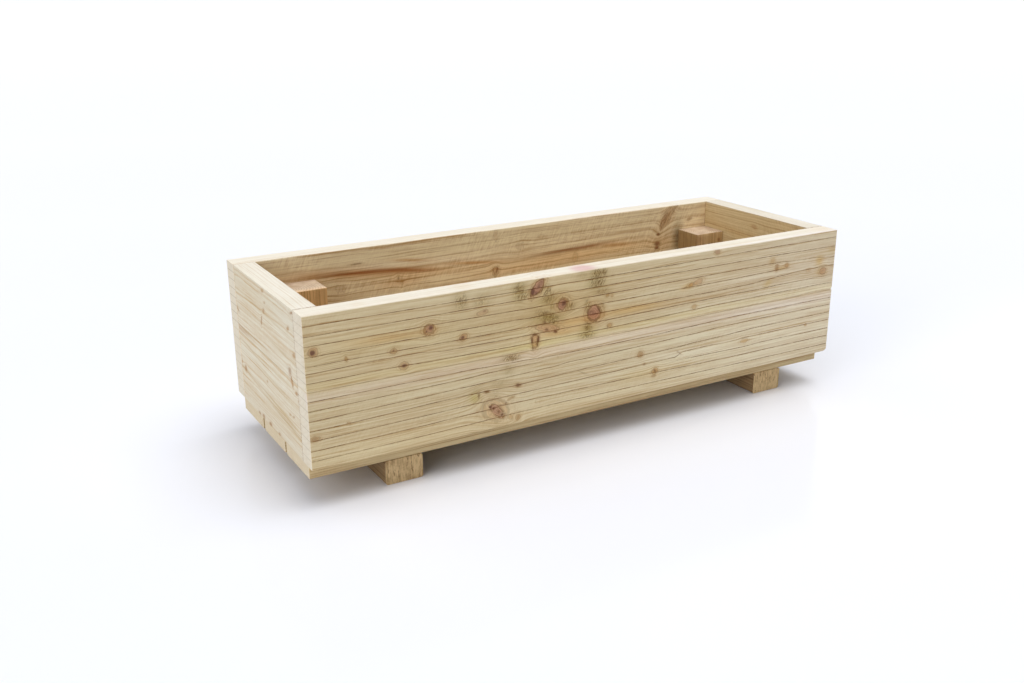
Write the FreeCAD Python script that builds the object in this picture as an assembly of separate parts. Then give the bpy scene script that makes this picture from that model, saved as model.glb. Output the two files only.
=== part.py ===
import FreeCAD, Part
import os
from FreeCAD import Rotation, Vector

# Rectangular garden planter of grooved timber.
# The walls stand on a slatted floor, and the floor rests on two bearers.
# Lengths are in millimetres. The origin is on the ground under the middle of the planter.
# +X points to the right end, +Y to the back wall and +Z up.

# Outside of the walls
planter_length = 1200.0
planter_depth = 430.0
lower_board_height = 142.0
upper_board_height = 133.0

# Wall boards
long_board_thickness = 45.0
end_board_thickness = 42.0
long_board_round = 2.0
end_board_round = 0.8

# Grooves in the outer face of the long boards
groove_mouth = 2.6
groove_bottom = 1.0
groove_depth = 2.2

# Heights of the ridges between the grooves, from the top of a board down
ridge_shares = {
    "lower": (0.95, 0.95, 1.0, 1.0, 1.02, 1.02, 1.03, 0.98),
    "upper": (0.93, 1.0, 1.0, 1.0, 0.97, 0.66, 0.93, 0.93),
}

# Floor boards, with gaps that let the water out
floor_thickness = 28.0
floor_names = ("front", "middle", "back")
floor_gap = 7.0
floor_round = 2.0

# Width of the edge of the floor that each wall stands on
long_wall_bearing = 17.0
end_wall_bearing = 38.5

# Bearers under the floor
bearer_width = 75.0
bearer_height = 48.0
bearer_inset = {"left": 144.0, "right": 108.5}
bearer_round = 2.5

# Corner posts inside the walls
post_depth = 70.0
post_width = {"left": 118.0, "right": 80.0}
post_height = {"left": 222.5, "right": 214.5}
post_round = 2.0

# Countersunk wood screws
screw_radius = 2.5
screw_head_radius = 5.0
screw_head_height = 3.2
screw_tip_length = 5.0
screw_tip_radius = 0.4
screw_play = 0.3

# How far the screws reach into the timber that they hold
wall_bite_share = 0.6
floor_bite_share = 0.7
floor_to_wall_bite = 42.0

# Where the screws sit along the timber that they hold
post_screw_shares = (0.28, 0.58)
floor_screw_shares = (0.25, 0.75)
side_screw_shares = (0.2, 0.4, 0.6, 0.8)

# Height between the screws of a post that cross each other
crossing_drop = 14.0

# Length that a cutting shape runs on past an open face
overrun = 1.0

# Planes that follow from the sizes
half_length = planter_length / 2
half_depth = planter_depth / 2
inner_half_length = half_length - end_board_thickness
inner_half_depth = half_depth - long_board_thickness
floor_half_length = inner_half_length + end_wall_bearing
floor_half_depth = inner_half_depth + long_wall_bearing

# Levels that follow from the sizes
floor_bottom = bearer_height
floor_top = floor_bottom + floor_thickness
joint_level = floor_top + lower_board_height
rim_level = joint_level + upper_board_height
board_levels = {"lower": (floor_top, joint_level), "upper": (joint_level, rim_level)}

# Side of the middle on which each end and each long wall lies
end_sides = {"left": -1, "right": 1}
wall_sides = {"front": -1, "back": 1}

# Directions of the grain and of the screws
along = Vector(1, 0, 0)
across = Vector(0, 1, 0)
upward = Vector(0, 0, 1)


def runs_along(edge, direction):
    """Whether a straight edge lies along a direction and not across it."""
    tangent = edge.tangentAt(edge.FirstParameter)
    return tangent.cross(direction).Length < abs(tangent.dot(direction))


def timber(x_range, y_range, z_range, grain, edge_round):
    """A straight timber between the given planes, with the edges along its grain rounded."""
    low = Vector(min(x_range), min(y_range), min(z_range))
    high = Vector(max(x_range), max(y_range), max(z_range))
    size = high - low
    solid = Part.makeBox(size.x, size.y, size.z, low)
    long_edges = [edge for edge in solid.Edges if runs_along(edge, grain)]
    return solid.makeFillet(edge_round, long_edges)


def groove_cutter(level):
    """A bar that cuts one groove along the front face, with its middle at the given height."""
    face_plane = -half_depth
    start = -half_length - overrun
    outline = [
        Vector(start, face_plane - overrun, level - groove_mouth / 2),
        Vector(start, face_plane, level - groove_mouth / 2),
        Vector(start, face_plane + groove_depth, level - groove_bottom / 2),
        Vector(start, face_plane + groove_depth, level + groove_bottom / 2),
        Vector(start, face_plane, level + groove_mouth / 2),
        Vector(start, face_plane - overrun, level + groove_mouth / 2),
    ]
    section = Part.Face(Part.makePolygon(outline + outline[:1]))
    return section.extrude(along * (planter_length + 2 * overrun))


def groove_levels(board):
    """Heights of the grooves of the lower or the upper board, worked out from its ridges."""
    bottom, top = board_levels[board]
    shares = ridge_shares[board]
    levels = []
    level = top
    for share in shares[:-1]:
        level -= (top - bottom) * share / sum(shares)
        levels.append(level)
    return levels


def long_board(wall, board):
    """One grooved board of the front or the back wall."""
    x_range = (-half_length, half_length)
    y_range = (-half_depth, -inner_half_depth)
    solid = timber(x_range, y_range, board_levels[board], along, long_board_round)
    solid = solid.cut([groove_cutter(level) for level in groove_levels(board)])
    if wall == "back":
        solid.rotate(Vector(), upward, 180)
    return solid


def end_board(end, board):
    """One plain board of an end, between the two long walls."""
    side = end_sides[end]
    x_range = (side * inner_half_length, side * half_length)
    y_range = (-inner_half_depth, inner_half_depth)
    return timber(x_range, y_range, board_levels[board], across, end_board_round)


def post_middle(wall, end):
    """Middle of the foot of a corner post."""
    x = end_sides[end] * (inner_half_length - post_width[end] / 2)
    y = wall_sides[wall] * (inner_half_depth - post_depth / 2)
    return Vector(x, y, floor_top)


def corner_post(wall, end):
    """A post that stands on the floor in one corner."""
    middle = post_middle(wall, end)
    x_range = (middle.x - post_width[end] / 2, middle.x + post_width[end] / 2)
    y_range = (middle.y - post_depth / 2, middle.y + post_depth / 2)
    z_range = (floor_top, floor_top + post_height[end])
    return timber(x_range, y_range, z_range, upward, post_round)


def floor_board_sides(name):
    """Front and back plane of a floor board."""
    gaps = (len(floor_names) - 1) * floor_gap
    width = (2 * floor_half_depth - gaps) / len(floor_names)
    front = -floor_half_depth + floor_names.index(name) * (width + floor_gap)
    return front, front + width


def floor_board(name):
    """One board of the slatted floor."""
    x_range = (-floor_half_length, floor_half_length)
    z_range = (floor_bottom, floor_top)
    return timber(x_range, floor_board_sides(name), z_range, along, floor_round)


def bearer_middle(end):
    """Distance of a bearer's middle plane from the middle of the planter, to the right."""
    return end_sides[end] * (half_length - bearer_inset[end] - bearer_width / 2)


def bearer(end):
    """A bearer that carries the floor from front to back."""
    x_range = (bearer_middle(end) - bearer_width / 2, bearer_middle(end) + bearer_width / 2)
    y_range = (-floor_half_depth, floor_half_depth)
    return timber(x_range, y_range, (0, floor_bottom), across, bearer_round)


def turned(profile):
    """A solid turned about the vertical axis from a profile of radii and heights."""
    points = [Vector(radius, 0, height) for radius, height in profile]
    section = Part.Face(Part.makePolygon(points + points[:1]))
    return section.revolve(Vector(), upward, 360)


def screw(length):
    """A countersunk screw that points down, with the top of its head at the origin."""
    return turned([
        (0, 0),
        (screw_head_radius, 0),
        (screw_radius, -screw_head_height),
        (screw_radius, screw_tip_length - length),
        (screw_tip_radius, -length),
        (0, -length),
    ])


def screw_bore(length, bite):
    """The bore of a screw: a seat for its head, a free hole and a tight hole for its bite."""
    bore_radius = screw_radius + screw_play
    head_slope = screw_head_height / (screw_head_radius - screw_radius)
    seat_depth = (screw_head_radius - bore_radius) * head_slope
    return turned([
        (0, overrun),
        (screw_head_radius, overrun),
        (screw_head_radius, 0),
        (bore_radius, -seat_depth),
        (bore_radius, bite - length),
        (screw_radius, bite - length),
        (screw_radius, screw_tip_length - length),
        (screw_tip_radius, -length),
        (0, -length),
    ])


def set_screw(point, direction, passed, bite):
    """A screw and its bore, driven at a point through one timber and into the next."""
    length = passed + bite
    turn = Rotation(-upward, direction)
    pair = screw(length), screw_bore(length, bite)
    for solid in pair:
        solid.Placement = FreeCAD.Placement(point, turn)
    return pair


def post_screw_levels(end, board):
    """Heights of the screws that hold one board to a post, within their common height."""
    bottom, top = board_levels[board]
    reach = min(top, floor_top + post_height[end]) - bottom
    return [bottom + share * reach for share in post_screw_shares]


def long_wall_screws(wall):
    """Screws from the inner faces of the posts into the front or the back wall."""
    outward = across * wall_sides[wall]
    bite = wall_bite_share * long_board_thickness
    screws = []
    for end in end_sides:
        start = post_middle(wall, end) - outward * (post_depth / 2)
        for board in board_levels:
            for level in post_screw_levels(end, board):
                point = Vector(start.x, start.y, level)
                screws.append(set_screw(point, outward, post_depth, bite))
    return screws


def end_wall_screws(end):
    """Screws from the inner faces of the posts into one end, below those that they cross."""
    outward = along * end_sides[end]
    bite = wall_bite_share * end_board_thickness
    screws = []
    for wall in wall_sides:
        start = post_middle(wall, end) - outward * (post_width[end] / 2)
        for board in board_levels:
            for level in post_screw_levels(end, board):
                point = Vector(start.x, start.y, level - crossing_drop)
                screws.append(set_screw(point, outward, post_width[end], bite))
    return screws


def floor_end_screws():
    """Screws from below through the ends of the floor boards into the end walls."""
    screws = []
    for side in end_sides.values():
        x = side * (floor_half_length - end_wall_bearing / 2)
        for name in floor_names:
            front, back = floor_board_sides(name)
            for share in floor_screw_shares:
                point = Vector(x, front + share * (back - front), floor_bottom)
                screws.append(set_screw(point, upward, floor_thickness, floor_to_wall_bite))
    return screws


def floor_side_screws():
    """Screws from below through the outer floor boards into the long walls."""
    screws = []
    for side in wall_sides.values():
        y = side * (floor_half_depth - long_wall_bearing / 2)
        for share in side_screw_shares:
            point = Vector(share * planter_length - half_length, y, floor_bottom)
            screws.append(set_screw(point, upward, floor_thickness, floor_to_wall_bite))
    return screws


def bearer_screws():
    """Screws from below through the bearers into the floor boards."""
    bite = floor_bite_share * floor_thickness
    screws = []
    for end in end_sides:
        for name in floor_names:
            front, back = floor_board_sides(name)
            for share in floor_screw_shares:
                point = Vector(bearer_middle(end), front + share * (back - front), 0)
                screws.append(set_screw(point, upward, bearer_height, bite))
    return screws


def bored(solid, bores):
    """The timber with every bore that reaches it cut out."""
    reached = [bore for bore in bores if bore.BoundBox.intersect(solid.BoundBox)]
    return solid.cut(reached).removeSplitter()


def timbers():
    """Every piece of wood, by name."""
    pieces = {}
    for board in board_levels:
        for wall in wall_sides:
            pieces[f"{wall}_board_{board}"] = long_board(wall, board)
        for end in end_sides:
            pieces[f"{end}_end_board_{board}"] = end_board(end, board)
    for wall in wall_sides:
        for end in end_sides:
            pieces[f"corner_post_{wall}_{end}"] = corner_post(wall, end)
    for name in floor_names:
        pieces[f"floor_board_{name}"] = floor_board(name)
    for end in end_sides:
        pieces[f"bearer_{end}"] = bearer(end)
    return pieces


def screw_groups():
    """Every group of screws with their bores, by name."""
    groups = {}
    for wall in wall_sides:
        groups[f"{wall}_wall_screws"] = long_wall_screws(wall)
    for end in end_sides:
        groups[f"{end}_end_screws"] = end_wall_screws(end)
    groups["floor_end_screws"] = floor_end_screws()
    groups["floor_side_screws"] = floor_side_screws()
    groups["bearer_screws"] = bearer_screws()
    return groups


def planter_nodes():
    """The finished pieces of the planter, by name."""
    groups = screw_groups()
    bores = [bore for pairs in groups.values() for _, bore in pairs]
    nodes = {name: bored(solid, bores) for name, solid in timbers().items()}
    for name, pairs in groups.items():
        nodes[name] = Part.makeCompound([solid for solid, _ in pairs])
    return nodes


os.makedirs("parts", exist_ok=True)
for node, shape in planter_nodes().items():
    shape.exportStep(f"parts/{node}.step")
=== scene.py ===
import bpy
import math
import numpy as np
from mathutils import Matrix, Vector


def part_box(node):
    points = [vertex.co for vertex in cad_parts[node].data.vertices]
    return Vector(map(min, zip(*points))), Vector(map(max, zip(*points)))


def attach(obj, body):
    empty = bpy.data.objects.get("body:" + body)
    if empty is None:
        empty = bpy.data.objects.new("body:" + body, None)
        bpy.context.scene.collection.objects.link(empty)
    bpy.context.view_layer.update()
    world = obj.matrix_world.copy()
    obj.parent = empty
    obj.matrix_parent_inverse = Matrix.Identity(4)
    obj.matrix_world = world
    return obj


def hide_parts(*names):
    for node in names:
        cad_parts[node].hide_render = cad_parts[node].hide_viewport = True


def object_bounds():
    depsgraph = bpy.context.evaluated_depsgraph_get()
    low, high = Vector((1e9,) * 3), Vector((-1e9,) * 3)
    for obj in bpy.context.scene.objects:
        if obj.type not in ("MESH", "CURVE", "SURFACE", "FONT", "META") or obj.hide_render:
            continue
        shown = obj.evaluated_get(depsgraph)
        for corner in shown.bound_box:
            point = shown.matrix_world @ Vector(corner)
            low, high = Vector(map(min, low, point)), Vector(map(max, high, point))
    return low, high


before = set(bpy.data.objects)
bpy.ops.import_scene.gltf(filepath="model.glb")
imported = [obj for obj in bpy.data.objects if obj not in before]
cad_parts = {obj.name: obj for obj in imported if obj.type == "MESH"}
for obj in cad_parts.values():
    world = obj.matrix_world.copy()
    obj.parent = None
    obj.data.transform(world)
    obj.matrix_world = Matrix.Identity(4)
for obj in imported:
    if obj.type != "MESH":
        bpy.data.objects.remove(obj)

cad_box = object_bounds()

# Lengths of timbers, marks and screws are millimetres, and the scene is in metres
MM = 0.001

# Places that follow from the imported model
LOW, HIGH = cad_box
RIM = HIGH.z
LEFT, RIGHT = LOW.x, HIGH.x
FRONT, BACK = LOW.y, HIGH.y
WALL_LOW, WALL_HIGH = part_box("front_board_lower")
FLOOR_TOP = WALL_LOW.z
LONG_LENGTH = (RIGHT - LEFT) / MM
WALL_THICKNESS = (WALL_HIGH.y - WALL_LOW.y) / MM
RIM_HEIGHT = (RIM - FLOOR_TOP) / MM
JOINT_DEPTH = (RIM - WALL_HIGH.z) / MM

# From and to which depth below the rim each board of a wall goes
SPANS = {"upper": (0, JOINT_DEPTH), "lower": (JOINT_DEPTH, RIM_HEIGHT)}

# Between which depths a mark makes the grid of a board finer
MARK_SPANS = {"upper": (0, 137), "lower": (130, RIM_HEIGHT)}

BODY = "root"
UP = (0, 0, 1)

# Edges of the timbers: how round they are, worn rims, seams, and creases in degrees
EDGE_TURNS = np.radians([0, 30, 60, 90])
EDGE = 2.0
END_EDGE = 0.8
BEARER_EDGE = 6.0
BEVEL = 0.5
WALL_RIM_WEAR = 1.6
END_RIM_WEAR = 1.2
SEAM_WIDTH = 2.0
TIMBER_CREASE = 38
SCREW_CREASE = 32

# Wear of the faces, and how far a deep groove is sunk into the end of its board
WEAR = 0.3
WALL_RELIEF = 0.22
DEEP_CUT = 0.5
SCORE = 0.25

# Grids of the walls: spacings along them and at marks, rows of a ridge, and columns inward
WALL_GRIDS = {"front": (7.0, 2.4), "back": (10.0, 3.0)}
RIDGE_ROWS = 7
WALL_COLUMNS = 13

# Grids of the plain timbers: spacings along them, along them at marks, up them and inward
END_GRID = (5, 2.2, 2.2, 6)
POST_GRID = (7, 2.4, 3, 4)
FLOOR_GRID = (10, 2.4, 4, 5)
BEARER_GRID = (7, 2.4, 3, 4)

# How close the places of a grid may be
CLOSEST_SHARE = 0.75
LEAST_STEP = 0.05
SEAT_STEP = 1.2

# Piths of the logs that the timbers are cut from, each piece from another stretch of its log
LOWER_PITH_DROP = 133
PITH_SHARE = 0.4
POST_PITH_DEPTH = 26
BEARER_PITH_DEPTH = 60
LOG_LENGTH = 3000

# Shape of a groove: its rows by their share of the mouth and of the depth
GROOVE_MOUTH = 2.2
GROOVE_DEPTH = 1.25
GROOVE_DROP = 0.5
GROOVE_ROWS = ((0, 0), (0.16, 0.12), (0.34, 1), (0.66, 1), (0.84, 0.12), (1, 0))

# Screws: their lengths, and their places as shares of what they hold
SCREW_LENGTHS = {
    "front_wall_screws": 97, "back_wall_screws": 97, "left_end_screws": 143.2,
    "right_end_screws": 105.2, "floor_end_screws": 70, "floor_side_screws": 70,
    "bearer_screws": 67.6,
}
POST_SCREW_SHARES = (0.28, 0.58)
FLOOR_SCREW_SHARES = (0.25, 0.75)
SIDE_SCREW_SHARES = (0.2, 0.4, 0.6, 0.8)
CROSSING_DROP = 14 * MM

# Shape of a screw: its head, its cross recess, its thread and its seat in the timber
AROUND = 24
HEAD_RADIUS = 5.0
HEAD_HEIGHT = 3.2
HEAD_RIM = (4.95, 0.45)
HEAD_SUNK = 0.25
HEAD_RINGS = (4.9, 4.55, 3.3, 2.2, 1.1)
RECESS_DEPTH = 1.7
RECESS_REACH = 3.4
RECESS_HALF_WIDTH = 0.62
SHANK_RADIUS = 2.5
CORE_RADIUS = 1.75
THREAD_START = 0.4
PITCH = 2.4
THREAD_ROWS = ((CORE_RADIUS, 0), (CORE_RADIUS, 0.45), (SHANK_RADIUS, 0.62), (CORE_RADIUS, 0.8))
POINT_LENGTH = 5
POINT_RADIUS = 0.4
SEAT_RADIUS = 5.3
SEAT_DEPTH = 3.4
SEAT_SLOPE = HEAD_HEIGHT / (HEAD_RADIUS - SHANK_RADIUS)
SEAT_REACH = SEAT_RADIUS + 1.5
SEAT_PLACES = 12
SEAT_SNAP = 0.5
ON_FACE = 0.1


# Colours

def linear(red, green, blue):
    """A colour written in screen values from 0 to 255, as the renderer wants it."""
    shares = [value / 255 for value in (red, green, blue)]
    return tuple(
        share / 12.92 if share <= 0.04045 else ((share + 0.055) / 1.055) ** 2.4
        for share in shares
    )


WHITE = (1, 1, 1)
HALO = linear(190, 144, 82)
HALO_ARC = linear(146, 104, 56)
KNOT = linear(206, 162, 98)
KNOT_RING = linear(152, 106, 56)
KNOT_RIM = linear(108, 72, 40)
PINK_KNOT = linear(196, 150, 122)
PINK_KNOT_RING = linear(136, 92, 74)
DARK_SPOT = linear(94, 58, 36)
PINK_SPOT = linear(88, 52, 54)
SPOT_EDGE = linear(150, 104, 62)
TORN = linear(154, 124, 64)
TORN_TICK = linear(100, 72, 30)
TORN_FLECK = linear(230, 212, 160)
BLEACHED = linear(239, 232, 217)
# Dirt and painted shade in the grooves and seams
DIRT_AND_SHADE = linear(126, 70, 8)
SEAM_DIRT_AND_SHADE = linear(120, 92, 58)
CRACK = linear(116, 74, 36)


# Node graphs

class Graph:
    """A short way to write the nodes of a material or of the world."""

    def __init__(self, owner):
        owner.use_nodes = True
        self.owner = owner
        self.tree = owner.node_tree
        self.tree.nodes.clear()

    def node(self, kind, inputs, **settings):
        """A node whose inputs are linked to an output or get a plain value."""
        made = self.tree.nodes.new(kind)
        for key, value in settings.items():
            setattr(made, key, value)
        for key, value in inputs.items():
            if isinstance(value, bpy.types.NodeSocket):
                self.tree.links.new(value, made.inputs[key])
            else:
                made.inputs[key].default_value = value
        return made

    def math(self, operation, *values, clamp=False):
        inputs = dict(enumerate(values))
        return self.node("ShaderNodeMath", inputs, operation=operation, use_clamp=clamp).outputs[0]

    def times(self, first, second):
        return self.math("MULTIPLY", first, second)

    def plus(self, base, part, weight=1.0):
        """The base and a weighted part."""
        return self.math("MULTIPLY_ADD", part, weight, base)

    def sway(self, base, part, weight):
        """The base and a weighted noise that swings about nothing."""
        return self.plus(base, self.math("SUBTRACT", part, 0.5), weight)

    def span(self, value, low, high, to_low=0.0, to_high=1.0, kind="SMOOTHSTEP"):
        """The value's place between low and high, as a share or in another range."""
        inputs = dict(enumerate((value, low, high, to_low, to_high)))
        return self.node("ShaderNodeMapRange", inputs, interpolation_type=kind).outputs[0]

    def fall(self, value, low, high):
        return self.span(value, low, high, 1.0, 0.0)

    def mix(self, share, first, second, blend="MIX"):
        first, second = ((*c, 1) if isinstance(c, tuple) else c for c in (first, second))
        inputs = {0: share, 6: first, 7: second}
        return self.node("ShaderNodeMix", inputs, data_type="RGBA", blend_type=blend).outputs[2]

    def paint(self, colour, coat, *shares):
        """The colour under a coat that covers it by the product of the shares."""
        cover = shares[0]
        for share in shares[1:]:
            cover = self.times(cover, share)
        return self.mix(cover, colour, coat)

    def noise(self, place, along, across, deep=None, detail=2.0, rough=0.5, distortion=0.0):
        """Noise whose grains are finer the higher the numbers for the three directions are."""
        scale = (along, across, across if deep is None else deep)
        place = self.node("ShaderNodeVectorMath", {0: place, 1: scale}, operation="MULTIPLY")
        return self.node("ShaderNodeTexNoise", {
            "Vector": place.outputs[0], "Scale": 1, "Detail": detail, "Roughness": rough,
            "Distortion": distortion,
        }).outputs["Fac"]

    def attribute(self, name, output="Vector"):
        return self.node("ShaderNodeAttribute", {}, attribute_name=name).outputs[output]

    def parts(self, vector):
        return self.node("ShaderNodeSeparateXYZ", {0: vector}).outputs

    def surface(self, inputs, height=None, strength=0.6, depth=0.0):
        """Gives the material a shader, with a bump where a height is given, and returns it."""
        if height is not None:
            bump = {"Height": height, "Strength": strength, "Distance": depth}
            normal = self.node("ShaderNodeBump", bump).outputs["Normal"]
            inputs = inputs | {"Normal": normal}
        shader = self.node("ShaderNodeBsdfPrincipled", inputs).outputs["BSDF"]
        self.node("ShaderNodeOutputMaterial", {"Surface": shader})
        return self.owner


# Wood

def from_pith(g, across, deep):
    """How far a place is from the pith of its log."""
    return g.math("SQRT", g.math("ADD", g.times(across, across), g.times(deep, deep)))


def late_wood(g, count, start):
    """The dark share of each growth ring: it rises slowly and ends sharply."""
    phase = g.math("FRACT", count)
    return g.times(g.span(phase, start, 0.9), g.fall(phase, 0.93, 1.0))


def softwood(name, early, late, ring_width=5.2, contrast=0.42, streak=0.75, band=0.55,
             lines=0.34, ripple=0.3, spot=DARK_SPOT):
    """Planed softwood. Its pieces carry the attributes that timber_piece writes.

    grain is the place along the grain and from the pith. knot holds the distance to the nearest
    knot, where 1 is its edge, how full its disc is and how pink. spot holds the same for the
    nearest dark spot. tint holds soft stains, and painted light and shade. patch holds torn grain,
    dirt and painted shade in a groove, and bleached edges.
    """
    g = Graph(bpy.data.materials.new(name))
    grain = g.attribute("grain")
    along, across, deep = g.parts(grain)
    away, disc, pink = g.parts(g.attribute("knot"))
    spot_away, spot_share, spot_pink = g.parts(g.attribute("spot"))
    torn, dirt_and_shade, bleached = g.parts(g.attribute("patch"))

    # Growth rings about the pith, bent by slow noise
    bent = from_pith(g, across, deep)
    for scale, detail, size in (((2.2, 9), 1.5, 0.022), ((7, 40), 2, 0.0045),
                                ((28, 60), 1, 0.0016)):
        bent = g.plus(bent, g.noise(grain, *scale, detail=detail), size)
    count = g.math("DIVIDE", bent, ring_width * MM)
    uneven = g.node("ShaderNodeTexNoise", {"W": g.times(count, 0.9), "Scale": 1, "Detail": 1},
                    noise_dimensions="1D")
    count = g.plus(count, uneven.outputs["Fac"], 1.3)
    which = g.node("ShaderNodeTexWhiteNoise", {"W": g.math("FLOOR", count)},
                   noise_dimensions="1D")
    rings = g.times(late_wood(g, count, 0.35), g.plus(0.25, which.outputs["Value"]))

    # Fibres, long streaks, soft bands, thin lines and slanting ripples
    fibre = g.noise(grain, 20, 300, detail=4, rough=0.66)
    fine = g.noise(grain, 60, 1800, rough=0.6)
    streaks = g.noise(grain, 3.2, 190, detail=3, rough=0.6)
    bands = g.noise(grain, 3.5, 55)
    thin = g.span(g.noise(grain, 6, 380, detail=1), 0.58, 0.68)
    slant = g.node("ShaderNodeCombineXYZ", {0: g.plus(along, across, 0.5), 1: across, 2: deep})
    slant = slant.outputs[0]
    ripples = g.math("SUBTRACT", g.noise(slant, 340, 60, detail=1.5), 0.5)
    ripples = g.times(ripples, g.span(g.noise(grain, 6, 22, detail=1), 0.4, 0.6, 0.3, 1.0))

    shade = g.times(rings, contrast)
    for part, weight in ((streaks, streak), (bands, band), (fibre, 0.8), (fine, 0.25)):
        shade = g.sway(shade, part, weight)
    shade = g.plus(shade, ripples, ripple)
    shade = g.plus(shade, thin, lines)
    shade = g.math("ADD", shade, 0.16, clamp=True)
    colour = g.mix(shade, early, late)

    # Knots: a warm halo with thin arcs in it, a disc with rings and a dark rim
    bend = g.times(g.math("SUBTRACT", g.noise(grain, 230, 230, detail=3), 0.5), 0.8)
    bend = g.sway(bend, g.noise(grain, 80, 80, detail=1), 0.5)
    reach = g.math("ADD", away, bend)
    colour = g.paint(colour, HALO, g.fall(reach, 0.9, 2.3), disc, 0.42)
    arcs = g.span(g.math("SINE", g.times(reach, 13)), 0.1, 1.0)
    colour = g.paint(colour, HALO_ARC, arcs, g.fall(reach, 1.0, 2.2), disc, 0.6)
    disc_rings = g.span(g.math("FRACT", g.times(reach, 3.2)), 0.45, 1.0)
    face = g.mix(pink, KNOT, PINK_KNOT)
    face = g.paint(face, g.mix(pink, KNOT_RING, PINK_KNOT_RING), disc_rings, 0.5)
    colour = g.paint(colour, face, g.fall(reach, 0.8, 1.08), disc, 0.9)
    knot_rim = g.times(g.span(reach, 0.8, 0.95), g.fall(reach, 0.98, 1.14))
    knot_rim = g.times(knot_rim, disc)
    colour = g.paint(colour, KNOT_RIM, knot_rim, 0.65)

    # Dark spots and strokes
    spot_reach = g.math("ADD", spot_away, bend)
    core = g.times(g.fall(spot_reach, 0.45, 1.15), spot_share)
    colour = g.paint(colour, g.mix(spot_pink, spot, PINK_SPOT), core, 0.9)
    colour = g.paint(colour, SPOT_EDGE, g.fall(spot_reach, 1.0, 1.9), spot_share, 0.28)

    # Torn grain: olive wood with dark slanting ticks and a few pale ones
    ticks = g.noise(slant, 400, 190, detail=3, rough=0.62, distortion=0.9)
    patchy = g.span(g.math("ADD", bands, streaks), 0.75, 1.15, 0.5, 1.0)
    colour = g.paint(colour, TORN, torn, patchy, 0.8)
    specks = g.times(g.span(ticks, 0.5, 0.6), g.span(torn, 0.1, 0.8))
    colour = g.paint(colour, TORN_TICK, specks, 0.62)
    colour = g.paint(colour, TORN_FLECK, g.span(ticks, 0.44, 0.34), g.span(torn, 0.15, 0.6), 0.55)

    # The rim and worn edges are pale, and grooves hold dirt and painted shade, which thin out here
    # and there
    colour = g.paint(colour, BLEACHED, bleached, g.span(shade, 0, 1, 0.92, 0.5, "LINEAR"))
    gap = g.noise(grain, 70, 120, detail=3, rough=0.7)
    colour = g.paint(colour, DIRT_AND_SHADE, dirt_and_shade, g.span(gap, 0.36, 0.6, 0.4, 1.15), 0.85)
    # The tint holds stains, and painted light and shade
    colour = g.mix(1.0, colour, g.attribute("tint", "Color"), "MULTIPLY")

    rough = g.plus(g.sway(0.62, fibre, 0.25), core, -0.12)
    height = g.times(fibre, 0.6)
    for part, weight in ((fine, 0.3), (rings, -0.45), (ripples, 1.5 * ripple), (specks, -1.6),
                         (knot_rim, -1.0)):
        height = g.plus(height, part, weight)
    return g.surface({"Base Color": colour, "Roughness": rough, "IOR": 1.42,
                      "Specular IOR Level": 0.32}, height, depth=0.35 * MM)


def end_grain(name, early, late, ring_width=5.2, contrast=0.55, saw=(30, 60, 900), scratch=0.25,
              mottle=0.5, cracks=0.0):
    """Sawn end grain of the same wood: rings as arcs, open pores, cracks and a rough saw cut."""
    g = Graph(bpy.data.materials.new(name))
    grain = g.attribute("grain")
    _, across, deep = g.parts(grain)
    _, dirt_and_shade, _ = g.parts(g.attribute("patch"))
    bent = g.plus(from_pith(g, across, deep), g.noise(grain, 7, 40), 0.006)
    rings = late_wood(g, g.math("DIVIDE", bent, ring_width * MM), 0.3)
    pores = g.noise(grain, 300, 1500, detail=3, rough=0.7)
    cloud = g.noise(grain, 10, 45, detail=3)
    cut = g.noise(grain, *saw, detail=3, rough=0.6)
    shade = g.times(rings, contrast)
    for part, weight in ((pores, 0.55), (cloud, mottle), (cut, scratch)):
        shade = g.sway(shade, part, weight)
    colour = g.mix(g.math("ADD", shade, 0.15, clamp=True), early, late)
    split = g.noise(grain, *(0.8 * scale for scale in saw), rough=0.7, distortion=0.6)
    colour = g.paint(colour, CRACK, g.span(split, 0.6, 0.68), cracks)
    # Stains and painted light and shade from the tint, then dirt and painted shade at seams and
    # groove ends
    colour = g.mix(1.0, colour, g.attribute("tint", "Color"), "MULTIPLY")
    colour = g.paint(colour, SEAM_DIRT_AND_SHADE, dirt_and_shade, 0.55)
    height = g.plus(g.times(pores, 0.8), cut, 0.6)
    return g.surface({"Base Color": colour, "Roughness": g.sway(0.8, pores, 0.2),
                      "Specular IOR Level": 0.2}, height, depth=0.4 * MM)


def zinc(name):
    """Zinc-plated screw steel with a cloudy, slightly yellowed finish."""
    g = Graph(bpy.data.materials.new(name))
    place = g.node("ShaderNodeTexCoord", {}).outputs["Object"]
    cloud = g.noise(place, 500, 500, detail=3)
    fine = g.noise(place, 3000, 3000)
    colour = g.mix(cloud, linear(196, 192, 180), linear(168, 150, 108))
    return g.surface({"Base Color": colour, "Metallic": 1.0,
                      "Roughness": g.span(fine, 0.2, 0.8, 0.28, 0.5)},
                     fine, strength=0.25, depth=0.05 * MM)


# Marks on the faces. Knots: millimetres along the wall and down from the rim, half length, half
# height, slope in degrees, how dark the core is, how full the disc is and how pink. The last two
# are left out where they are 0

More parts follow.
